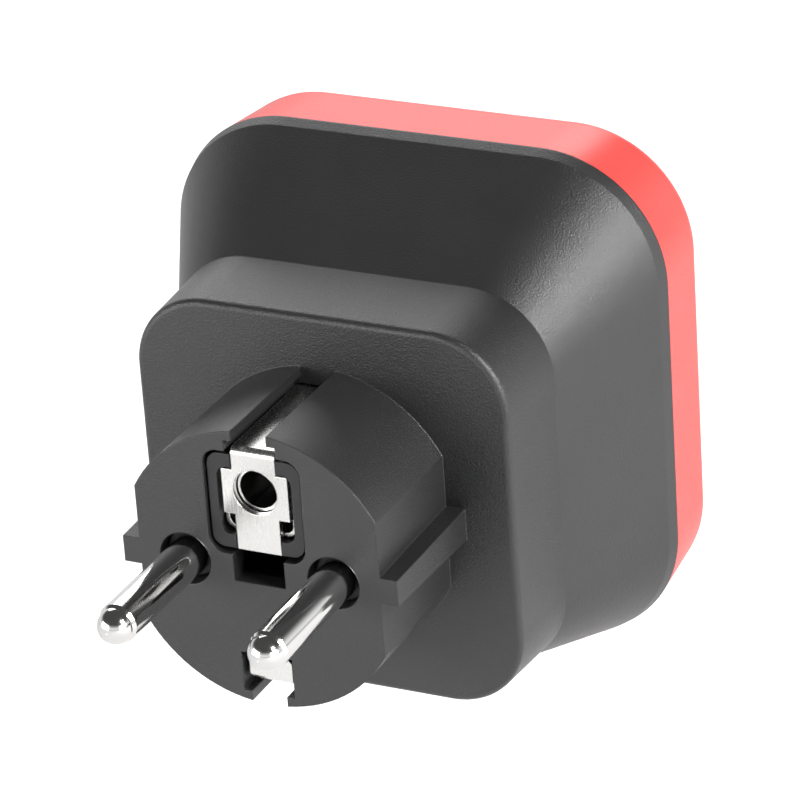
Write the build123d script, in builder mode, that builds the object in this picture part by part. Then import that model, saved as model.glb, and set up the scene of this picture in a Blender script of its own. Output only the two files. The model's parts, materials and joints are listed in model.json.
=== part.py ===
from build123d import *
import math
import os

# Travel adapter: earthed two-pin plug at the back, universal outlet at the front.
# Millimetres. Origin at the centre of the plug's face, pins towards -Y, outlet towards +Y, +Z up.

# Plug pins
pin_pitch = 19.0
pin_diameter = 4.8
pin_reach = 19.0
pin_ball_radius = 2.15
pin_cone_length = 0.5
pin_fit = 0.05
pin_groove = 0.25
pin_flange_radius = 3.6
pin_flange_thickness = 1.5
pin_stud_radius = 1.5
pin_stud_length = 3.0
recess_radius = 3.3
recess_depth = 4.0
collar_length = 2.0
collar_fit = 0.05

# Plug head
head_radius = 17.6
head_flat = 15.4
head_length = 17.9
rib_height = 2.2
rib_draft = 0.25
rib_half = 1.65
rib_half_root = 2.05
groove_half = 3.3
groove_mouth_half = 2.27
groove_lip = 1.4
lower_groove_floor = 11.1

# Earth socket in the plug's face
earth_z = 9.7
earth_pin_diameter = 4.8
pocket_half = 6.2
pocket_below = 8.1
pocket_above = 5.1
pocket_depth = 15.5
pocket_corner = 2.0
frame_gap = 0.3
frame_border = 1.15
frame_front = 0.5
frame_corner = 1.6
frame_open_corner = 1.2
frame_open_below = 5.8
frame_open_above = 2.8
frame_notch = 0.9
slot_half = 3.3
slot_depth_z = 3.4
slot_overlap = 0.6
face_wall = 2.5
void_half = 4.6
void_depth_z = 5.2

# Earth strips
strip_thickness = 0.8
strip_half = 2.8
strip_inset = 2.5
strip_bend = 0.9
strip_reach = 3.9
strip_slot_gap = 0.2
plate_front = 0.6
plate_below = 7.6
plate_hole = 5.6
tab_half = 4.2
tab_below = 3.1
tab_above = 2.55
tab_return = 1.6
lower_strip_front = 0.8
lower_flange_gap = 0.5
sleeve_gap = 0.2
sleeve_wall = 0.35
sleeve_length = 12.3
sleeve_tail_half = 2.0
clip_gap = 0.2
clip_length = 8.0

# Square body, measured across from side to side and along from the plinth's front
plinth_half = 24.05
plinth_corner = 9.6
plinth_edge = 0.8
plinth_length = 11.7
plinth_draft = 0.65
shell_length = 15.1
rim_half = 32.3
rim_corner = 15.7
crease_step = 0.5
band_length = 1.7
body_rise = 3.45
ring_length = 11.8
ring_draft = 1.0
ring_edge = 2.0
ring_width = 5.3
wall = 2.2

# Outlet face
seam = 0.1
face_recess = 1.0
face_thickness = 3.0
ring_seat = 5.6
flange_reach = 2.5
flange_thickness = 1.8
skirt_wall = 1.2
skirt_corner = 8.0
row_drop = 9.0
aperture_gap = 0.3
uk_line_width = 6.35
uk_line_height = 4.0
uk_line_x = 11.1
uk_earth_width = 4.0
uk_earth_height = 8.0
uk_earth_rise = 22.2
us_blade_width = 1.5
us_blade_height = 7.9
us_blade_x = 6.35
us_earth_diameter = 4.8
us_earth_rise = 11.9
au_blade_width = 1.6
au_blade_height = 6.35
au_blade_x = 6.86
au_blade_tilt = 30.0
au_earth_rise = 10.2

# Housing screws
screw_shank = 1.45
screw_length = 14.2
screw_head = 2.6
screw_head_height = 1.8
screw_seat = 1.0
screw_bore_gap = 0.05
screw_pass_gap = 0.15
boss_radius = 3.2
face_post_radius = 3.0
post_wall = 0.4

# Contact carrier
carrier_step = 3.4
carrier_base = 3.0
carrier_below = 11.45
carrier_above = 7.25
carrier_wall = 0.7
base_half = 20.6
base_height = 37.0
insulator_thickness = 2.0
line_x = 9.8
chamber_half = 5.5
chamber_height = 5.65
chamber_gap = 0.4
earth_chamber_half = 3.25
earth_chamber_margin = 1.75

# Contacts
leaf = 0.5
contact_seat = 1.0
contact_short = 0.8
contact_throat = 5.0
earth_throat = 4.7
contact_mouth = 9.4
earth_mouth = 5.2
earth_contact_gap = 0.5
bar = 0.8
bar_width = 5.0
bar_foot = 3.4
rivet_rise = 1.8
rivet_radius = 1.0
rivet_head = 1.6
rivet_head_height = 0.6

# Carrier screws
post_x = 18.0
post_below = 4.0
post_above = 3.0
post_radius = 2.6
post_screw = 1.2
post_screw_length = 11.0
post_head = 2.3
post_head_height = 1.8

# Shutter
shutter_gap = 0.15
shutter_layer = 2.2
shutter_travel = 9.0
shutter_cover = 5.05
shutter_inner = 4.3
shutter_ramp = 1.2
shutter_stop_gap = 0.35
arm_lap = 0.6
arm_drop = 8.0
foot_half = 1.5
foot_thickness = 2.0
foot_length = 3.75
spring_inset = 1.8
spring_radius = 1.2
spring_wire = 0.2
spring_coils = 10
spring_short = 8.0
seat_thickness = 2.0

# Places across the plug's axis that follow from the sizes above
pin_radius = pin_diameter / 2
groove_radius = pin_radius - pin_groove
rib_reach = head_flat + rib_height
groove_inner = head_radius - groove_lip
strip_outer = head_radius - strip_inset
strip_inner = strip_outer - strip_thickness
upper_groove_floor = strip_inner - 1.3
lower_flange_top = lower_groove_floor + lower_flange_gap
pocket_bottom = earth_z - pocket_below
pocket_top = earth_z + pocket_above
frame_half = pocket_half - frame_gap
frame_bottom = pocket_bottom + 2 * frame_gap
frame_top = strip_inner - seam
frame_open_half = frame_half - frame_border
frame_open_bottom = earth_z - frame_open_below
frame_open_top = earth_z + frame_open_above
slot_top = pocket_bottom + slot_overlap
slot_bottom = pocket_bottom - slot_depth_z
void_bottom = pocket_bottom - void_depth_z
plate_bottom = earth_z - plate_below
tab_bottom = earth_z - tab_below
tab_top = earth_z + tab_above
sleeve_inner = earth_pin_diameter / 2
tail_z = earth_z - sleeve_inner - leaf / 2
crease_half = rim_half - crease_step
front_half = rim_half - ring_draft
crease_corner = rim_corner - 0.7
front_corner = rim_corner - ring_draft
shell_start_half = plinth_half + plinth_draft
shell_start_corner = plinth_corner + 0.7
ring_open_half = rim_half - ring_width
ring_open_corner = rim_corner - ring_width + 0.6
flange_half = ring_open_half + flange_reach
skirt_half = ring_open_half - skirt_wall
screw_x = ring_open_half - face_post_radius - post_wall
arm_outer = screw_x - face_post_radius - 2 * shutter_gap
spring_x = arm_outer - spring_inset
row_z = body_rise - row_drop
carrier_half = line_x + chamber_half + carrier_wall
shutter_outer = carrier_half
shutter_bottom = body_rise - skirt_half + shutter_travel + shutter_stop_gap
carrier_bottom = row_z - carrier_below
carrier_top = row_z + uk_earth_rise + carrier_above
base_top = carrier_bottom + base_height
post_low = carrier_bottom + post_below
post_high = base_top - post_above
earth_chamber_bottom = row_z + chamber_height + 1.4
earth_chamber_top = row_z + uk_earth_rise + uk_earth_height / 2 + earth_chamber_margin
contact_width = 2 * (chamber_half - chamber_gap)
spring_seat = carrier_bottom + seat_thickness
spring_top = spring_seat + shutter_travel + spring_short
arm_top = spring_top + foot_thickness
arm_bottom = arm_top - arm_drop

# Places along the plug's axis that follow from the sizes above
plinth_floor = head_length + wall
sleeve_front = plate_front + strip_thickness + sleeve_gap
sleeve_back = sleeve_front + sleeve_length
strip_end = plinth_floor + strip_reach
bridge_y = strip_end - 1
shell_start = head_length + plinth_length
crease_y = shell_start + shell_length
rim_y = crease_y + band_length
front_y = rim_y + ring_length
face_y = front_y - face_recess
face_back = face_y - face_thickness
flange_front = rim_y + ring_seat
flange_back = flange_front - flange_thickness
carrier_back = shell_start + carrier_step
carrier_front = face_back - shutter_layer
insulator_back = carrier_back - insulator_thickness
base_front = carrier_back + carrier_base
boss_back = base_front + 0.3
screw_tip_y = face_back + screw_seat - screw_length
post_screw_tip = base_front - post_screw_length
contact_back = base_front + contact_seat
contact_end = carrier_front - contact_short
contact_throat_y = (contact_back + carrier_front) / 2
foot_y = contact_back - bar
shutter_back = carrier_front + shutter_gap
shutter_front = face_back - shutter_gap
foot_back = shutter_back - foot_length
spring_y = (foot_back + carrier_front) / 2


def across(y):
    """Plane across the plug's axis at y, with X to the right and Z up."""
    return Plane.XZ.offset(-y)


def square(y, half, corner, centre_z):
    with BuildSketch(across(y)) as section:
        with Locations((0, centre_z)):
            RectangleRounded(2 * half, 2 * half, corner)
    return section.sketch


def block(x0, x1, y0, y1, z0, z1):
    with BuildPart() as solid:
        with BuildSketch(across(y0)):
            with Locations(((x0 + x1) / 2, (z0 + z1) / 2)):
                Rectangle(x1 - x0, z1 - z0)
        extrude(amount=y0 - y1)
    return solid.part


def rod(x, z, radius, y0, y1):
    with BuildPart() as solid:
        with BuildSketch(across(y0)):
            with Locations((x, z)):
                Circle(radius)
        extrude(amount=y0 - y1)
    return solid.part


def save(builder, name):
    builder.part.label = name
    export_step(builder.part, "parts/" + name + ".step")


os.makedirs("parts", exist_ok=True)

# Rear housing: plinth, widening shell and rim band, hollow from the front
with BuildPart() as rear_housing:
    loft([square(head_length, plinth_half, plinth_corner, 0),
          square(shell_start, shell_start_half, shell_start_corner, 0)])
    fillet(rear_housing.faces().sort_by(Axis.Y)[0].edges(), radius=plinth_edge)
    loft([square(shell_start, shell_start_half, shell_start_corner, 0),
          square(crease_y, crease_half, crease_corner, body_rise)])
    loft([square(crease_y, crease_half, crease_corner, body_rise),
          square(rim_y, rim_half, rim_corner, body_rise)])
    loft([square(plinth_floor, plinth_half - wall, plinth_corner - wall, 0),
          square(shell_start, shell_start_half - wall, shell_start_corner - wall, 0)],
         mode=Mode.SUBTRACT)
    loft([square(shell_start, shell_start_half - wall, shell_start_corner - wall, 0),
          square(crease_y, crease_half - wall, crease_corner - wall, body_rise)],
         mode=Mode.SUBTRACT)
    loft([square(crease_y, crease_half - wall, crease_corner - wall, body_rise),
          square(rim_y, rim_half - wall, rim_corner - wall, body_rise)],
         mode=Mode.SUBTRACT)

    # Plug head with side flats
    with BuildSketch(across(0)):
        Circle(head_radius)
        Rectangle(2 * head_flat, 2 * head_radius, mode=Mode.INTERSECT)
    extrude(amount=-plinth_floor)

    # Guide ribs on the flats, with draft
    for side in (-1, 1):
        with BuildSketch(across(0)) as rib_tip:
            with Locations((side * (head_flat + rib_reach - 1) / 2, 0)):
                Rectangle(rib_reach - head_flat + 1, 2 * rib_half)
        with BuildSketch(across(head_length + 0.5)) as rib_root:
            with Locations((side * (head_flat + (rib_reach + rib_draft) - 1) / 2, 0)):
                Rectangle((rib_reach + rib_draft) - head_flat + 1, 2 * rib_half_root)
        loft()

    # Pin bores and their recesses
    with BuildSketch(across(0)):
        with Locations((-pin_pitch / 2, 0), (pin_pitch / 2, 0)):
            Circle(pin_radius + pin_fit)
    extrude(amount=-plinth_floor, mode=Mode.SUBTRACT)
    with BuildSketch(across(0)):
        with Locations((-pin_pitch / 2, 0), (pin_pitch / 2, 0)):
            Circle(recess_radius)
    extrude(amount=-recess_depth, mode=Mode.SUBTRACT)

    # Earth grooves with lips, above and below
    with BuildSketch(across(0)):
        with Locations((0, (upper_groove_floor + groove_inner) / 2)):
            Rectangle(2 * groove_half, groove_inner - upper_groove_floor)
        with Locations((0, -(lower_groove_floor + groove_inner) / 2)):
            Rectangle(2 * groove_half, groove_inner - lower_groove_floor)
        with Locations((0, head_radius - groove_lip / 2), (0, groove_lip / 2 - head_radius)):
            Rectangle(2 * groove_mouth_half, 2 * groove_lip)
    extrude(amount=-head_length, mode=Mode.SUBTRACT)

    # Pocket for the earth socket's frame, and the slot below it
    with BuildSketch(across(0)):
        with Locations((0, (pocket_bottom + pocket_top) / 2)):
            RectangleRounded(2 * pocket_half, pocket_top - pocket_bottom, pocket_corner)
    extrude(amount=-pocket_depth, mode=Mode.SUBTRACT)
    with BuildSketch(across(0)):
        with Locations((0, (slot_bottom + slot_top) / 2)):
            Rectangle(2 * slot_half, slot_top - slot_bottom)
    extrude(amount=-face_wall, mode=Mode.SUBTRACT)
    with BuildSketch(across(face_wall)):
        with Locations((0, (void_bottom + slot_top) / 2)):
            Rectangle(2 * void_half, slot_top - void_bottom)
    extrude(amount=face_wall - pocket_depth, mode=Mode.SUBTRACT)

    # Passages for the earth strips and the socket's tail
    with BuildSketch(across(head_length - 0.5)):
        with Locations((0, strip_outer - strip_thickness / 2), (0, strip_thickness / 2 - strip_outer)):
            Rectangle(2 * (strip_half + strip_slot_gap), strip_thickness + 2 * strip_slot_gap)
    extrude(amount=-wall - 0.5, mode=Mode.SUBTRACT)
    with BuildSketch(across(pocket_depth)):
        with Locations((0, tail_z)):
            Rectangle(2 * (sleeve_tail_half + strip_slot_gap), 2 * bar)
    extrude(amount=pocket_depth - plinth_floor, mode=Mode.SUBTRACT)

    # Posts for the carrier screws and bosses for the housing screws
    with BuildSketch(across(plinth_floor - 0.5)):
        with Locations((-post_x, post_low), (post_x, post_low), (-post_x, post_high), (post_x, post_high)):
            Circle(post_radius)
    extrude(amount=plinth_floor - 0.5 - insulator_back)
    with BuildSketch(across(post_screw_tip - 1)):
        with Locations((-post_x, post_low), (post_x, post_low), (-post_x, post_high), (post_x, post_high)):
            Circle(post_screw + screw_bore_gap)
    extrude(amount=post_screw_tip - 1 - insulator_back, mode=Mode.SUBTRACT)
    with BuildSketch(across(boss_back)):
        with Locations((-screw_x, body_rise), (screw_x, body_rise)):
            Circle(boss_radius)
    extrude(amount=boss_back - flange_back)
    with BuildSketch(across(screw_tip_y - 0.5)):
        with Locations((-screw_x, body_rise), (screw_x, body_rise)):
            Circle(screw_shank + screw_bore_gap)
    extrude(amount=screw_tip_y - 0.5 - flange_back, mode=Mode.SUBTRACT)
save(rear_housing, "rear_housing")

# Coloured ring round the outlet end, with a shoulder that holds the outlet face
with BuildPart() as front_ring:
    loft([square(rim_y, rim_half, rim_corner, body_rise),
          square(front_y, front_half, front_corner, body_rise)])
    fillet(front_ring.faces().sort_by(Axis.Y)[-1].edges(), radius=ring_edge)
    add(extrude(square(rim_y, flange_half + seam, ring_open_corner + 1.5, body_rise),
                amount=rim_y - flange_front, mode=Mode.PRIVATE), mode=Mode.SUBTRACT)
    add(extrude(square(rim_y, ring_open_half, ring_open_corner, body_rise),
                amount=rim_y - front_y - 1, mode=Mode.PRIVATE), mode=Mode.SUBTRACT)
save(front_ring, "front_ring")

# Outlet face with the universal apertures
with BuildPart() as outlet_face:
    extrude(square(flange_back, ring_open_half - seam, ring_open_corner - seam, body_rise),
            amount=flange_back - face_y)
    extrude(square(flange_back, flange_half, ring_open_corner + 1.4, body_rise),
            amount=flange_back - flange_front)
    extrude(square(flange_back, skirt_half, skirt_corner, body_rise),
            amount=flange_back - face_back, mode=Mode.SUBTRACT)
    with BuildSketch(across(flange_back)):
        with Locations((-screw_x, body_rise), (screw_x, body_rise)):
            Circle(face_post_radius)
    extrude(amount=flange_back - face_y)
    with BuildSketch(across(flange_back)):
        with Locations((-screw_x, body_rise), (screw_x, body_rise)):
            Circle(screw_shank + screw_pass_gap)
    extrude(amount=flange_back - face_y, mode=Mode.SUBTRACT)
    with BuildSketch(across(face_back + screw_seat)):
        with Locations((-screw_x, body_rise), (screw_x, body_rise)):
            Circle(screw_head + screw_pass_gap)
    extrude(amount=face_back + screw_seat - face_y, mode=Mode.SUBTRACT)
    with BuildSketch(across(face_back)):
        for side in (-1, 1):
            with Locations((side * uk_line_x, row_z)):
                Rectangle(uk_line_width + 2 * aperture_gap, uk_line_height + 2 * aperture_gap)
            with Locations((side * pin_pitch / 2, row_z)):
                Circle(pin_radius + aperture_gap)
            with Locations((side * us_blade_x, row_z)):
                Rectangle(us_blade_width + 2 * aperture_gap, us_blade_height + 2 * aperture_gap)
            with Locations((side * au_blade_x, row_z)):
                Rectangle(au_blade_width + 2 * aperture_gap, au_blade_height + 2 * aperture_gap,
                          rotation=side * au_blade_tilt)
        with Locations((0, row_z + uk_earth_rise)):
            Rectangle(uk_earth_width + 2 * aperture_gap, uk_earth_height + 2 * aperture_gap)
        with Locations((0, row_z + us_earth_rise)):
            Circle(us_earth_diameter / 2 + aperture_gap)
        with Locations((0, row_z + au_earth_rise)):
            Rectangle(au_blade_width + 2 * aperture_gap, au_blade_height + 2 * aperture_gap)
    extrude(amount=face_back - face_y, mode=Mode.SUBTRACT)
    chamfer(outlet_face.faces().sort_by(Axis.Y)[-1].outer_wire().edges(), length=0.4)
save(outlet_face, "outlet_face")


# Plug pins with rounded tips, a seating flange inside the plinth and a riveting stud
def plug_pin(x):
    ball_y = pin_ball_radius - pin_reach
    stud_y = plinth_floor + pin_flange_thickness
    groove_front = recess_depth - collar_length - pin_fit
    with BuildPart() as pin:
        with BuildSketch(Plane.XY):
            with BuildLine():
                tip = (x, -pin_reach)
                ball_side = (x + pin_ball_radius, ball_y)
                CenterArc((x, ball_y), pin_ball_radius, -90, 90)
                Polyline(ball_side, (x + pin_radius, ball_y + pin_cone_length),
                         (x + pin_radius, groove_front), (x + groove_radius, groove_front),
                         (x + groove_radius, recess_depth + pin_fit),
                         (x + pin_radius, recess_depth + pin_fit),
                         (x + pin_radius, plinth_floor), (x + pin_flange_radius, plinth_floor),
                         (x + pin_flange_radius, stud_y), (x + pin_stud_radius, stud_y),
                         (x + pin_stud_radius, stud_y + pin_stud_length), (x, stud_y + pin_stud_length), tip)
            make_face()
        revolve(axis=Axis((x, 0, 0), (0, 1, 0)))
    return pin


def pin_collar(x):
    with BuildPart() as collar:
        add(rod(x, 0, recess_radius - collar_fit, recess_depth - collar_length, recess_depth))
        add(rod(x, 0, groove_radius + pin_fit, recess_depth - collar_length, recess_depth),
            mode=Mode.SUBTRACT)
        chamfer(collar.faces().sort_by(Axis.Y)[0].edges(), length=0.2)
    return collar


save(plug_pin(pin_pitch / 2), "line_pin")
save(plug_pin(-pin_pitch / 2), "neutral_pin")
save(pin_collar(pin_pitch / 2), "line_pin_collar")
save(pin_collar(-pin_pitch / 2), "neutral_pin_collar")

# Upper earth clip: strip, bend, plate with the pin hole, side tabs folded back, tongue
with BuildPart() as upper_earth_clip:
    with BuildSketch(Plane.YZ):
        with BuildLine():
            Polyline((plate_front, plate_bottom), (plate_front, strip_outer), (strip_end, strip_outer),
                     (strip_end, strip_inner), (plate_front + strip_thickness, strip_inner),
                     (plate_front + strip_thickness, plate_bottom), close=True)
        make_face()
    extrude(amount=strip_half, both=True)
    bend = upper_earth_clip.edges().filter_by(Axis.X).filter_by(
        lambda e: e.center().Y < plate_front + 0.01 and e.center().Z > strip_outer - 0.01)
    fillet(bend, radius=strip_bend)
    add(block(-tab_half, tab_half, plate_front, plate_front + strip_thickness, tab_bottom, tab_top))
    for side in (-1, 1):
        inner = side * (tab_half - leaf)
        add(block(min(inner, side * tab_half), max(inner, side * tab_half), plate_front,
                  plate_front + tab_return, tab_bottom, tab_top))
    add(rod(0, earth_z, plate_hole / 2, plate_front - 1, plate_front + 2), mode=Mode.SUBTRACT)
save(upper_earth_clip, "upper_earth_clip")

# Lower earth clip: strip with its front end bent inwards
with BuildPart() as lower_earth_clip:
    with BuildSketch(Plane.YZ):
        with BuildLine():
            Polyline((lower_strip_front, -lower_flange_top), (lower_strip_front, -strip_outer),
                     (strip_end, -strip_outer), (strip_end, -strip_inner),
                     (lower_strip_front + strip_thickness, -strip_inner),
                     (lower_strip_front + strip_thickness, -lower_flange_top), close=True)
        make_face()
    extrude(amount=strip_half, both=True)
    lower_bend = lower_earth_clip.edges().filter_by(Axis.X).filter_by(
        lambda e: e.center().Y < lower_strip_front + 0.01 and e.center().Z < 0.01 - strip_outer)
    fillet(lower_bend, radius=strip_bend)
    flange_corners = lower_earth_clip.edges().filter_by(Axis.Y).filter_by(
        lambda e: e.center().Z > -lower_flange_top - 0.01)
    chamfer(flange_corners, length=0.6)
save(lower_earth_clip, "lower_earth_clip")

# Frame let into the plug's face round the earth plate, with a channel the plate lies in
with BuildPart() as earth_socket_frame:
    with BuildSketch(across(frame_front)):
        with Locations((0, (frame_bottom + frame_top) / 2)):
            RectangleRounded(2 * frame_half, frame_top - frame_bottom, frame_corner)
        with Locations((0, (frame_open_bottom + frame_open_top) / 2)):
            RectangleRounded(2 * frame_open_half, frame_open_top - frame_open_bottom, frame_open_corner,
                             mode=Mode.SUBTRACT)
    extrude(amount=frame_front - pocket_depth)
    add(block(-strip_half - seam, strip_half + seam, frame_front, plate_front + strip_thickness + 0.05,
              frame_bottom - 1, frame_top + 1), mode=Mode.SUBTRACT)
    add(block(-strip_half - strip_slot_gap, strip_half + strip_slot_gap, plate_front + strip_thickness,
              pocket_depth, frame_open_top - 1, frame_open_top + frame_notch), mode=Mode.SUBTRACT)
save(earth_socket_frame, "earth_socket_frame")

# Rolled contact sleeve with a pointed top gap, and its tail to the earth bridge
with BuildPart() as earth_pin_sleeve:
    with BuildSketch(across(sleeve_front)):
        with Locations((0, earth_z)):
            Circle(sleeve_inner + sleeve_wall)
        with BuildLine():
            Polyline((-sleeve_inner, earth_z + 1.5), (0, earth_z + sleeve_inner + 0.9),
                     (sleeve_inner, earth_z + 1.5), close=True)
        make_face()
        with Locations((0, earth_z)):
            Circle(sleeve_inner, mode=Mode.SUBTRACT)
        with Locations((0, earth_z + sleeve_inner + 0.5)):
            Rectangle(0.5, 2.6, mode=Mode.SUBTRACT)
    extrude(amount=sleeve_front - sleeve_back)
    add(block(-sleeve_tail_half, sleeve_tail_half, sleeve_back - 2, bridge_y,
              tail_z - leaf / 2, tail_z + leaf / 2))
save(earth_pin_sleeve, "earth_pin_sleeve")

# U-shaped spring clip round the sleeve
clip_half = frame_open_half - clip_gap
clip_height = frame_open_top - frame_open_bottom - 2 * clip_gap
with BuildPart() as earth_socket_clip:
    with BuildSketch(across(sleeve_front)):
        with Locations((0, (frame_open_bottom + frame_open_top) / 2)):
            RectangleRounded(2 * clip_half, clip_height, frame_open_corner + clip_gap)
            RectangleRounded(2 * (clip_half - leaf), clip_height - 2 * leaf, frame_open_corner - clip_gap,
                             mode=Mode.SUBTRACT)
        with Locations((0, frame_open_top)):
            Rectangle(2 * clip_half + 1, 2.4, mode=Mode.SUBTRACT)
    extrude(amount=-clip_length)
    add(block(-clip_half - 1, clip_half + 1, sleeve_front - 1, plate_front + tab_return + seam,
              tab_bottom - clip_gap, frame_open_top + 1), mode=Mode.SUBTRACT)
save(earth_socket_clip, "earth_socket_clip")

# Earth bridge between the two clips
with BuildPart() as earth_bridge:
    add(block(-strip_half, strip_half, bridge_y, bridge_y + bar, -strip_inner, strip_inner))
save(earth_bridge, "earth_bridge")


# Busbars from the pins to the contacts
def line_bar(side):
    x = side * pin_pitch / 2
    ring_y = plinth_floor + pin_flange_thickness
    x0 = x - bar_width / 2
    x1 = x + bar_width / 2
    with BuildPart() as busbar:
        add(block(x0, x1, ring_y, ring_y + bar, row_z - bar / 2, bar_width / 2))
        add(block(x0, x1, ring_y, contact_back, row_z - bar / 2, row_z + bar / 2))
        add(block(x0, x1, foot_y, contact_back, row_z - bar / 2, row_z + bar_foot))
        add(rod(x, 0, pin_stud_radius + pin_fit, ring_y - 1, ring_y + 2), mode=Mode.SUBTRACT)
        add(rod(x, row_z + rivet_rise, rivet_radius + pin_fit, foot_y - 1, contact_back + 1),
            mode=Mode.SUBTRACT)
    return busbar


save(line_bar(1), "line_busbar")
save(line_bar(-1), "neutral_busbar")

with BuildPart() as earth_busbar:
    add(block(-bar_width / 2, bar_width / 2, bridge_y + bar, contact_back, tail_z - bar / 2,
              tail_z + bar / 2))
    add(block(-bar_width / 2, bar_width / 2, foot_y, contact_back, tail_z - bar / 2, tail_z + bar_foot))
    add(rod(0, tail_z + rivet_rise, rivet_radius + pin_fit, foot_y - 1, contact_back + 1), mode=Mode.SUBTRACT)
save(earth_busbar, "earth_busbar")


# Leaf contacts: a base and two leaves that close to a throat
def leaf_outline(mouth, throat):
    half = mouth / 2 + leaf / 2
    pinch = throat / 2 + leaf / 2
    base = contact_back + leaf / 2
    return [(contact_end, half), (contact_throat_y, pinch), (base + 2, half), (base, half),
            (base, -half), (base + 2, -half), (contact_throat_y, -pinch), (contact_end, -half)]


def line_leaf(side):
    points = [(y, row_z + z) for y, z in leaf_outline(contact_mouth, contact_throat)]
    x = side * line_x
    with BuildPart() as contact:
        with BuildSketch(Plane.YZ.offset(x)):
            with BuildLine():
                Polyline(*points)
            trace(line_width=leaf)
        extrude(amount=contact_width / 2, both=True)
        add(rod(side * pin_pitch / 2, row_z + rivet_rise, rivet_radius + pin_fit,
                contact_back - 1, contact_back + 1), mode=Mode.SUBTRACT)
    return contact


save(line_leaf(1), "line_contact")
save(line_leaf(-1), "neutral_contact")

with BuildPart() as outlet_earth_contact:
    with BuildSketch(Plane.XY.offset((earth_chamber_bottom + earth_chamber_top) / 2)):
        with BuildLine():
            Polyline(*[(x, y) for y, x in leaf_outline(earth_mouth, earth_throat)])
        trace(line_width=leaf)
    extrude(amount=(earth_chamber_top - earth_chamber_bottom) / 2 - earth_contact_gap, both=True)
    add(rod(0, tail_z + rivet_rise, rivet_radius + pin_fit, contact_back - 1, contact_back + 1),
        mode=Mode.SUBTRACT)
save(outlet_earth_contact, "outlet_earth_contact")

# Rivets that join the busbars to the contacts
with BuildPart() as contact_rivets:
    for x, z in ((pin_pitch / 2, row_z + rivet_rise), (-pin_pitch / 2, row_z + rivet_rise),
                 (0, tail_z + rivet_rise)):
        add(rod(x, z, rivet_radius, foot_y, contact_back + leaf))
        add(rod(x, z, rivet_head, contact_back + leaf, contact_back + leaf + rivet_head_height))
save(contact_rivets, "contact_rivets")

# Contact carrier: base, block with three chambers, and a seat for each shutter spring
with BuildPart() as contact_carrier:
    add(block(-base_half, base_half, carrier_back, carrier_back + carrier_base, carrier_bottom, base_top))
    add(block(-carrier_half, carrier_half, carrier_back, carrier_front, carrier_bottom, carrier_top))
    for side in (-1, 1):
        seat_low = spring_seat - seat_thickness
        add(block(min(side * carrier_half, side * arm_outer), max(side * carrier_half, side * arm_outer),
                  foot_back, carrier_front, seat_low, spring_seat))
        add(block(side * line_x - chamber_half, side * line_x + chamber_half,
                  foot_y - strip_slot_gap, carrier_front + 1,
                  row_z - chamber_height, row_z + chamber_height), mode=Mode.SUBTRACT)
        add(block(side * pin_pitch / 2 - bar_width / 2 - seam, side * pin_pitch / 2 + bar_width / 2 + seam,
                  carrier_back - 1, foot_y + 1, row_z - bar / 2 - seam, row_z + bar / 2 + seam),
            mode=Mode.SUBTRACT)
        for z in (post_low, post_high):
            add(rod(side * post_x, z, post_screw + screw_pass_gap, carrier_back - 1,
                    carrier_back + carrier_base + 1), mode=Mode.SUBTRACT)
            add(rod(side * post_x, z, post_head + screw_pass_gap, carrier_back + carrier_base,
                    carrier_back + carrier_base + 6), mode=Mode.SUBTRACT)
    add(block(-earth_chamber_half, earth_chamber_half, foot_y - strip_slot_gap, carrier_front + 1,
              earth_chamber_bottom, earth_chamber_top), mode=Mode.SUBTRACT)
    add(block(-bar_width / 2 - seam, bar_width / 2 + seam, carrier_back - 1, foot_y + 1,
              tail_z - bar / 2 - seam, tail_z + bar / 2 + seam), mode=Mode.SUBTRACT)
save(contact_carrier, "contact_carrier")

# Insulating plate between the plug side and the carrier
with BuildPart() as insulating_plate:
    add(block(-base_half, base_half, insulator_back, carrier_back, carrier_bottom, base_top))
    for side in (-1, 1):
        add(block(side * pin_pitch / 2 - bar_width / 2 - seam, side * pin_pitch / 2 + bar_width / 2 + seam,
                  insulator_back - 1, carrier_back + 1, row_z - bar / 2 - seam, row_z + bar / 2 + seam),
            mode=Mode.SUBTRACT)
        for z in (post_low, post_high):
            add(rod(side * post_x, z, post_screw + screw_pass_gap, insulator_back - 1, carrier_back + 1),
                mode=Mode.SUBTRACT)
    add(block(-bar_width / 2 - seam, bar_width / 2 + seam, insulator_back - 1, carrier_back + 1,
              tail_z - bar / 2 - seam, tail_z + bar / 2 + seam), mode=Mode.SUBTRACT)
save(insulating_plate, "insulating_plate")


# Cross-slotted screws
def screw(x, z, shank, head, tip_y, head_y, head_height):
    with BuildPart() as fastener:
        add(rod(x, z, shank, tip_y, head_y))
        add(rod(x, z, head, head_y, head_y + head_height))
        fillet(fastener.faces().sort_by(Axis.Y)[-1].edges(), radius=0.5)
        for width, height in ((0.8, head), (head, 0.8)):
            add(block(x - width / 2, x + width / 2, head_y + head_height - 0.9, head_y + head_height + 1,
                      z - height / 2, z + height / 2), mode=Mode.SUBTRACT)
    return fastener.part


with BuildPart() as carrier_screws:
    for x in (-post_x, post_x):
        for z in (post_low, post_high):
            add(screw(x, z, post_screw, post_head, post_screw_tip, carrier_back + carrier_base,
                      post_head_height))
save(carrier_screws, "carrier_screws")

with BuildPart() as housing_screws:
    for x in (-screw_x, screw_x):
        add(screw(x, body_rise, screw_shank, screw_head, screw_tip_y, face_back + screw_seat,
                  screw_head_height))
save(housing_screws, "housing_screws")

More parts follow.
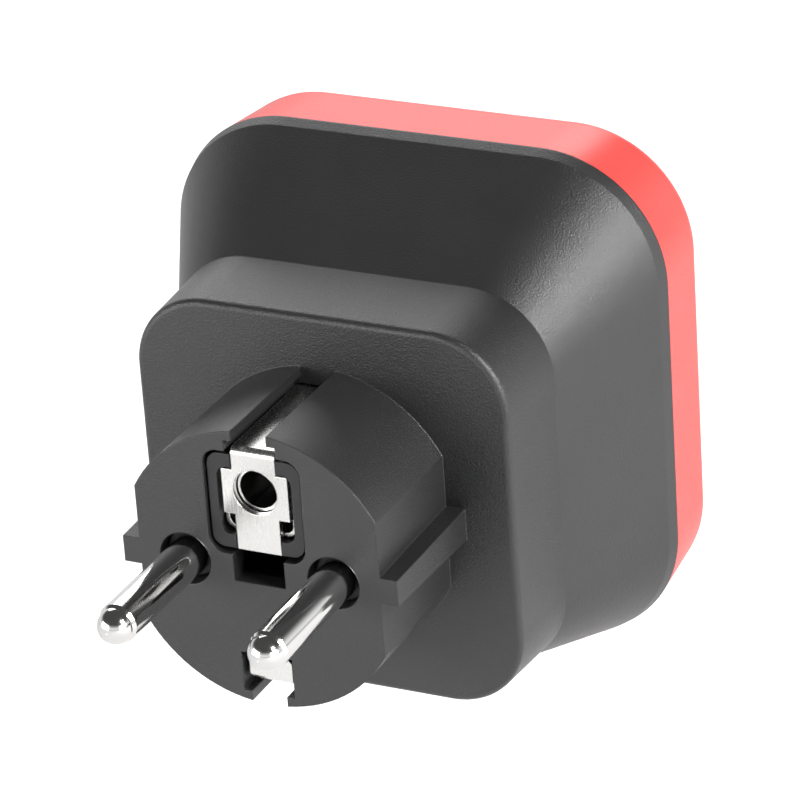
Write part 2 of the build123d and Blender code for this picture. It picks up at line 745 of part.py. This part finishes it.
# Safety shutter: two covers joined below, with an arm and a spring foot on each side
with BuildPart() as safety_shutter:
    low = row_z - shutter_cover
    high = row_z + shutter_cover
    for side in (-1, 1):
        near = min(side * shutter_inner, side * shutter_outer)
        far = max(side * shutter_inner, side * shutter_outer)
        add(block(near, far, shutter_back, shutter_front, low, high))
    ramps = safety_shutter.edges().filter_by(Axis.X).filter_by(
        lambda e: e.center().Z > high - 0.01 and e.center().Y > shutter_front - 0.01)
    chamfer(ramps, length=shutter_ramp)
    add(block(-shutter_outer, shutter_outer, shutter_back, shutter_front, shutter_bottom, low))
    for side in (-1, 1):
        arm_inner = shutter_outer - arm_lap
        add(block(min(side * arm_inner, side * arm_outer), max(side * arm_inner, side * arm_outer),
                  shutter_back, shutter_front, arm_bottom, arm_top))
        add(block(side * spring_x - foot_half, side * spring_x + foot_half, foot_back, shutter_back + 0.5,
                  spring_top, arm_top))
save(safety_shutter, "safety_shutter")


# Shutter return springs
def return_spring(side):
    x = side * spring_x
    low = spring_seat + spring_wire
    height = spring_top - spring_seat - 2 * spring_wire
    with BuildPart() as spring:
        with BuildLine() as path:
            Helix(pitch=height / spring_coils, height=height, radius=spring_radius,
                  center=(x, spring_y, low), direction=(0, 0, 1))
        with BuildSketch(Plane(origin=path.line @ 0, z_dir=path.line % 0)):
            Circle(spring_wire)
        sweep(path=path.line, is_frenet=True)
    return spring


save(return_spring(1), "line_side_spring")
save(return_spring(-1), "neutral_side_spring")
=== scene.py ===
# %% [markdown]
# # A universal travel adapter
# The adapter has an earthed two-pin plug at the back and a universal outlet at the front.
# Its shapes come from the CAD frame. This lesson sets up the studio, gives each shape its finish,
# and models the two shutter springs again as wound wire.

# %% Load the frame
import json
import math

import bpy
from mathutils import Matrix, Vector


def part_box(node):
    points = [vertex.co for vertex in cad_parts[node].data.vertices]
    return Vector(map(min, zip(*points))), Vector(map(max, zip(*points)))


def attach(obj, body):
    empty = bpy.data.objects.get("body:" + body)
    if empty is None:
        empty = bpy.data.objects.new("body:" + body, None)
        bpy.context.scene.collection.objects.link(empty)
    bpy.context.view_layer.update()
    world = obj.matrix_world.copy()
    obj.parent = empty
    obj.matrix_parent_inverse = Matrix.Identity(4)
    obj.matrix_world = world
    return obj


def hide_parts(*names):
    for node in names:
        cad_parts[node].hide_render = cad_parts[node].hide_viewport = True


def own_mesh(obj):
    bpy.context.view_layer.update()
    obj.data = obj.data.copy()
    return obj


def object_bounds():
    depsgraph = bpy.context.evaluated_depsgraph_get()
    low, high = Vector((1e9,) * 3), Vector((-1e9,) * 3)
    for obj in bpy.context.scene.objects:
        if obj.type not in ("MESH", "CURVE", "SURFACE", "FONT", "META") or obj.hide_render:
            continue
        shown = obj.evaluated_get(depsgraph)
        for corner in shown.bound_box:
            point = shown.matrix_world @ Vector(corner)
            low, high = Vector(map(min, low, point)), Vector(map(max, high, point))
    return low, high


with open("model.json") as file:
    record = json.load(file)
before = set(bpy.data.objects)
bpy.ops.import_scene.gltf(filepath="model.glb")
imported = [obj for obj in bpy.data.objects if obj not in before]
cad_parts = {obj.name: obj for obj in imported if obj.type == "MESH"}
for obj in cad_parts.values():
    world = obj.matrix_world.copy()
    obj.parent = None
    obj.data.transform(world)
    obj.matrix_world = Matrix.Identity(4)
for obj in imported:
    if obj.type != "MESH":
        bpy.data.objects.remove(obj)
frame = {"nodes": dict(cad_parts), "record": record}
cad_box = [list(corner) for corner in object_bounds()]
nodes = frame["nodes"]
MM = 0.001
print("nodes:", len(nodes), "box (mm):", [[round(v / MM, 1) for v in corner] for corner in cad_box])

# %% [markdown]
# ## Camera
# The adapter is seen from the plug side, from the right and a little above, through a long lens.
# The camera is placed by its bearing, height, tilt and distance from a point inside the plinth,
# which is easier to read and to change than a matrix.

# %% Camera
BEARING = math.radians(27.05)
HEIGHT = math.radians(25.76)
TILT = math.radians(-3.98)
DISTANCE = 522.4 * MM
AIM = Vector((9.37, 20.0, 13.86)) * MM

camera = bpy.data.objects.new("camera", bpy.data.cameras.new("camera"))
bpy.context.scene.collection.objects.link(camera)
turn = (Matrix.Rotation(BEARING, 4, "Z") @ Matrix.Rotation(math.pi / 2 - HEIGHT, 4, "X")
        @ Matrix.Rotation(TILT, 4, "Z"))
camera.matrix_world = Matrix.Translation(AIM) @ turn @ Matrix.Translation((0, 0, DISTANCE))
camera.data.sensor_width = 36.0
camera.data.lens = 203.15
camera.data.clip_start = 0.01
camera.data.clip_end = 20.0
bpy.context.scene.camera = camera
bpy.context.scene.view_settings.view_transform = "Standard"
print("camera at (mm):", [round(v / MM, 1) for v in camera.matrix_world.translation])

# %% [markdown]
# ## Floor, light and background
# The adapter hangs well above the floor, as it would in a wall socket, so the floor takes only a
# soft shadow. The world is white to the camera and lights the adapter less than that. The floor
# is lifted towards white for the camera, and more so further out, where the lamps hardly reach.
# Black plastic shows what it mirrors more than its own colour. So what glossy surfaces mirror in
# the world is white at the horizon and fades to dark grey overhead.

# %% Node helpers
def new_material(name):
    material = bpy.data.materials.new(name)
    material.use_nodes = True
    tree = material.node_tree
    return material, tree, tree.nodes["Principled BSDF"]


def add_node(tree, kind, **settings):
    node = tree.nodes.new(kind)
    for key, value in settings.items():
        if key in node.inputs:
            node.inputs[key].default_value = value
        else:
            setattr(node, key, value)
    return node


def join(tree, source, output, target, socket):
    tree.links.new(source.outputs[output], target.inputs[socket])


def map_range(tree, given, wanted, **settings):
    node = add_node(tree, "ShaderNodeMapRange", **settings)
    limits = zip(("From Min", "From Max", "To Min", "To Max"), (*given, *wanted))
    for socket, value in limits:
        node.inputs[socket].default_value = value
    return node


# %% World
WORLD_LIGHT = 0.42
HORIZON, OVERHEAD = 0.05, 0.5
MIRRORED_AT_HORIZON, MIRRORED_OVERHEAD = 1.0, 0.07

world = bpy.data.worlds.new("studio")
world.use_nodes = True
bpy.context.scene.world = world
tree = world.node_tree
background = tree.nodes["Background"]
background.inputs["Color"].default_value = (1, 1, 1, 1)
path = add_node(tree, "ShaderNodeLightPath")
white = add_node(tree, "ShaderNodeMath", operation="ADD", use_clamp=True)
join(tree, path, "Is Camera Ray", white, 0)
join(tree, path, "Is Transmission Ray", white, 1)
direction = add_node(tree, "ShaderNodeTexCoord")
parts = add_node(tree, "ShaderNodeSeparateXYZ")
join(tree, direction, "Generated", parts, "Vector")
fade = map_range(tree, (HORIZON, OVERHEAD), (MIRRORED_AT_HORIZON, MIRRORED_OVERHEAD),
                 interpolation_type="SMOOTHSTEP")
join(tree, parts, "Z", fade, "Value")
mirrored = add_node(tree, "ShaderNodeMix", data_type="FLOAT")
join(tree, path, "Is Glossy Ray", mirrored, "Factor")
mirrored.inputs["A"].default_value = WORLD_LIGHT
join(tree, fade, 0, mirrored, "B")
strength = add_node(tree, "ShaderNodeMix", data_type="FLOAT")
join(tree, white, 0, strength, "Factor")
join(tree, mirrored, 0, strength, "A")
strength.inputs["B"].default_value = 1.0
join(tree, strength, 0, background, "Strength")
print("world light:", WORLD_LIGHT)

# %% Floor
FLOOR_SIDE = 6.0
FLOOR_DROP = 60 * MM
NEAR, FAR = 0.4, 1.5
LIFT_NEAR, LIFT_FAR = 0.35, 0.7

floor_z = cad_box[0][2] - FLOOR_DROP
bpy.ops.object.select_all(action="DESELECT")
bpy.ops.mesh.primitive_plane_add(size=FLOOR_SIDE, location=(0, 0, floor_z))
floor = bpy.context.object
floor.name = "floor"
bpy.ops.object.transform_apply(location=True)
material, tree, shader = new_material("floor_white")
shader.inputs["Base Color"].default_value = (0.8, 0.8, 0.8, 1)
shader.inputs["Roughness"].default_value = 0.8
shader.inputs["Specular IOR Level"].default_value = 0.0
path = add_node(tree, "ShaderNodeLightPath")
lift = add_node(tree, "ShaderNodeMath", operation="MULTIPLY")
join(tree, path, "Is Camera Ray", lift, 0)
place = add_node(tree, "ShaderNodeTexCoord")
distance = add_node(tree, "ShaderNodeVectorMath", operation="LENGTH")
join(tree, place, "Object", distance, 0)
outwards = map_range(tree, (NEAR, FAR), (LIFT_NEAR, LIFT_FAR))
join(tree, distance, "Value", outwards, "Value")
join(tree, outwards, 0, lift, 1)
shader.inputs["Emission Color"].default_value = (1, 1, 1, 1)
join(tree, lift, 0, shader, "Emission Strength")
floor.data.materials.append(material)
print("floor at z (mm):", round(floor_z / MM, 1))


# %% Lights
def soft_light(name, place, target, size, power):
    lamp = bpy.data.lights.new(name, "AREA")
    lamp.shape = "RECTANGLE"
    lamp.size, lamp.size_y = size
    lamp.energy = power
    light = bpy.data.objects.new(name, lamp)
    bpy.context.scene.collection.objects.link(light)
    light.location = place
    light.rotation_euler = (Vector(target) - Vector(place)).to_track_quat("-Z", "Y").to_euler()


middle = (0, 0.02, 0.0)
soft_light("front_left", (-0.80, -0.90, 0.10), middle, (1.2, 0.8), 12.0)
soft_light("right_low", (1.0, -0.25, 0.05), middle, (1.0, 0.7), 6.0)
soft_light("corner", (0.84, -0.10, 0.58), middle, (0.22, 0.3), 12.0)
soft_light("back_top", (-0.50, 0.95, 0.60), middle, (0.9, 0.5), 5.0)

# %% [markdown]
# ## Black moulded plastic
# The housing is black polycarbonate from a spark-eroded mould: a very fine, even grain that
# catches light at low angles. A bevel node rounds the sharp CAD edges, as a mould does.

# %% Helpers for gloss and relief
EDGE_SAMPLES = 6


def uneven_gloss(tree, shader, pattern, low, high):
    rough = map_range(tree, (0.0, 1.0), (low, high))
    join(tree, pattern, "Fac", rough, "Value")
    join(tree, rough, 0, shader, "Roughness")


def relief(tree, shader, pattern, edge, depth):
    edge_round = add_node(tree, "ShaderNodeBevel", samples=EDGE_SAMPLES, Radius=edge)
    bump = add_node(tree, "ShaderNodeBump", Strength=1.0, Distance=depth)
    join(tree, pattern, "Fac", bump, "Height")
    join(tree, edge_round, "Normal", bump, "Normal")
    join(tree, bump, "Normal", shader, "Normal")


# %% Moulded plastic
CLOUD_SCALE = 120.0
TINT_SPREAD = 0.08
GLOSS_SPREAD = 0.08


def moulded(name, colour, roughness, grain, depth, edge=0.15 * MM, specular=0.6):
    material, tree, shader = new_material(name)
    place = add_node(tree, "ShaderNodeTexCoord")
    cloud = add_node(tree, "ShaderNodeTexNoise", Scale=CLOUD_SCALE, Detail=2.0)
    join(tree, place, "Object", cloud, "Vector")
    shade = map_range(tree, (0.3, 0.7), (1 - TINT_SPREAD, 1 + TINT_SPREAD))
    join(tree, cloud, "Fac", shade, "Value")
    tint = add_node(tree, "ShaderNodeVectorMath", operation="SCALE")
    tint.inputs[0].default_value = colour
    join(tree, shade, 0, tint, "Scale")
    join(tree, tint, 0, shader, "Base Color")
    spark = add_node(tree, "ShaderNodeTexNoise", Scale=1.0 / grain, Detail=3.0, Roughness=0.6)
    join(tree, place, "Object", spark, "Vector")
    uneven_gloss(tree, shader, spark, roughness - GLOSS_SPREAD, roughness + GLOSS_SPREAD)
    relief(tree, shader, spark, edge, depth)
    shader.inputs["Specular IOR Level"].default_value = specular
    return material


# %% [markdown]
# ## Metals
# The pins are nickel-plated and bright, with faint drawing marks along them. The earth clips are
# stamped from plated strip, which is a little duller. Contacts inside are plain brass, and the
# screws and springs are steel.


# %% Metal
GLOSS_SHARE = 0.3


def metal(name, colour, roughness, mark, depth, stretch=(1, 1, 1), edge=0.1 * MM):
    material, tree, shader = new_material(name)
    place = add_node(tree, "ShaderNodeTexCoord")
    along = add_node(tree, "ShaderNodeMapping")
    along.inputs["Scale"].default_value = stretch
    join(tree, place, "Object", along, "Vector")
    marks = add_node(tree, "ShaderNodeTexNoise", Scale=1.0 / mark, Detail=3.0)
    join(tree, along, "Vector", marks, "Vector")
    uneven_gloss(tree, shader, marks, roughness * (1 - GLOSS_SHARE), roughness * (1 + GLOSS_SHARE))
    relief(tree, shader, marks, edge, depth)
    shader.inputs["Base Color"].default_value = (*colour, 1)
    shader.inputs["Metallic"].default_value = 1.0
    return material


# %% Finishes for the CAD nodes
OUTER_BLACK = {"colour": (0.019, 0.019, 0.0195), "roughness": 0.36, "grain": 0.22 * MM,
               "depth": 0.08 * MM, "edge": 0.3 * MM, "specular": 0.7}
finishes = {
    "housing_black": moulded("housing_black", **OUTER_BLACK),
    "face_black": moulded("face_black", **OUTER_BLACK),
    "insert_black": moulded("insert_black", (0.012, 0.012, 0.0125), 0.4, 0.3 * MM, 0.006 * MM),
    "shutter_black": moulded("shutter_black", (0.03, 0.03, 0.031), 0.35, 0.3 * MM, 0.004 * MM),
    "carrier_grey": moulded("carrier_grey", (0.3, 0.3, 0.31), 0.45, 0.3 * MM, 0.006 * MM),
    "ring_coral": moulded("ring_coral", (0.90, 0.052, 0.043), 0.34, 0.4 * MM, 0.004 * MM,
                          0.15 * MM, 0.5),
    "nickel": metal("nickel", (0.76, 0.755, 0.745), 0.13, 0.5 * MM, 0.0015 * MM, (1, 0.05, 1)),
    "nickel_satin": metal("nickel_satin", (0.82, 0.81, 0.79), 0.26, 0.25 * MM, 0.002 * MM,
                          (1, 1, 0.1), 0.2 * MM),
    "brass": metal("brass", (0.75, 0.56, 0.28), 0.3, 0.3 * MM, 0.002 * MM),
    "screw_steel": metal("screw_steel", (0.62, 0.63, 0.64), 0.25, 0.3 * MM, 0.002 * MM),
    "spring_steel": metal("spring_steel", (0.7, 0.7, 0.7), 0.18, 0.3 * MM, 0.001 * MM),
}
slot_of = {row["node"]: row["material_slot"] for row in frame["record"]["subparts"]}
SATIN = ("upper_earth_clip", "lower_earth_clip", "earth_socket_clip")
finish_of = {name: "nickel_satin" if name in SATIN else slot_of[name] for name in nodes}
for name, node in nodes.items():
    node.data.materials.clear()
    node.data.materials.append(finishes[finish_of[name]])
print("finished:", {finish: list(finish_of.values()).count(finish) for finish in finishes})

# %% [markdown]
# ## Shutter springs
# Each shutter foot stands on a wound steel spring. A real spring is one wire coiled on a rod,
# with its two ends ground flat. The wire's round section is carried along a helix, and each end
# is cut flat. The real springs shorten as the shutter goes down; here each coil is fixed to the
# housing.

# %% Springs
SPRING_WIRE = 0.4 * MM
SPRING_TURNS = 10
WIRE_SIDES = 12
STEPS_PER_TURN = 32


def wound_spring(name, node_name):
    low, high = (Vector(corner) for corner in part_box(node_name))
    centre = (low + high) / 2
    radius = (high.x - low.x) / 2 - SPRING_WIRE / 2
    rise = high.z - low.z
    bpy.ops.object.select_all(action="DESELECT")
    bpy.ops.mesh.primitive_circle_add(vertices=WIRE_SIDES, radius=SPRING_WIRE / 2)
    spring = bpy.context.object
    spring.name = name
    bpy.ops.object.mode_set(mode="EDIT")
    bpy.ops.mesh.select_all(action="SELECT")
    bpy.ops.transform.rotate(value=math.pi / 2, orient_axis="X", center_override=(0, 0, 0))
    bpy.ops.transform.translate(value=(radius, 0, 0))
    bpy.ops.object.mode_set(mode="OBJECT")
    coil = spring.modifiers.new("coil", "SCREW")
    coil.axis = "Z"
    coil.angle = 2 * math.pi * SPRING_TURNS
    coil.screw_offset = rise
    coil.steps = STEPS_PER_TURN * SPRING_TURNS
    coil.render_steps = STEPS_PER_TURN * SPRING_TURNS
    coil.use_smooth_shade = True
    bpy.ops.object.modifier_apply(modifier="coil")
    bpy.ops.object.mode_set(mode="EDIT")
    for height, normal in ((0.0, (0, 0, -1)), (rise, (0, 0, 1))):
        bpy.ops.mesh.select_all(action="SELECT")
        bpy.ops.mesh.bisect(plane_co=(0, 0, height), plane_no=normal, use_fill=True,
                            clear_outer=True)
    bpy.ops.mesh.select_all(action="DESELECT")
    bpy.ops.mesh.select_non_manifold(extend=False)
    bpy.ops.mesh.edge_face_add()
    bpy.ops.mesh.select_all(action="SELECT")
    bpy.ops.mesh.normals_make_consistent(inside=False)
    bpy.ops.transform.translate(value=(centre.x, centre.y, low.z))
    bpy.ops.object.mode_set(mode="OBJECT")
    spring.data.materials.append(finishes["spring_steel"])
    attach(spring, "housing")
    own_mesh(spring)
    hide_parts(node_name)
    print(name, "faces:", len(spring.data.polygons), "from z", round(low.z / MM, 2), "to",
          round(high.z / MM, 2))


wound_spring("line_spring_coil", "line_side_spring")
wound_spring("neutral_spring_coil", "neutral_side_spring")
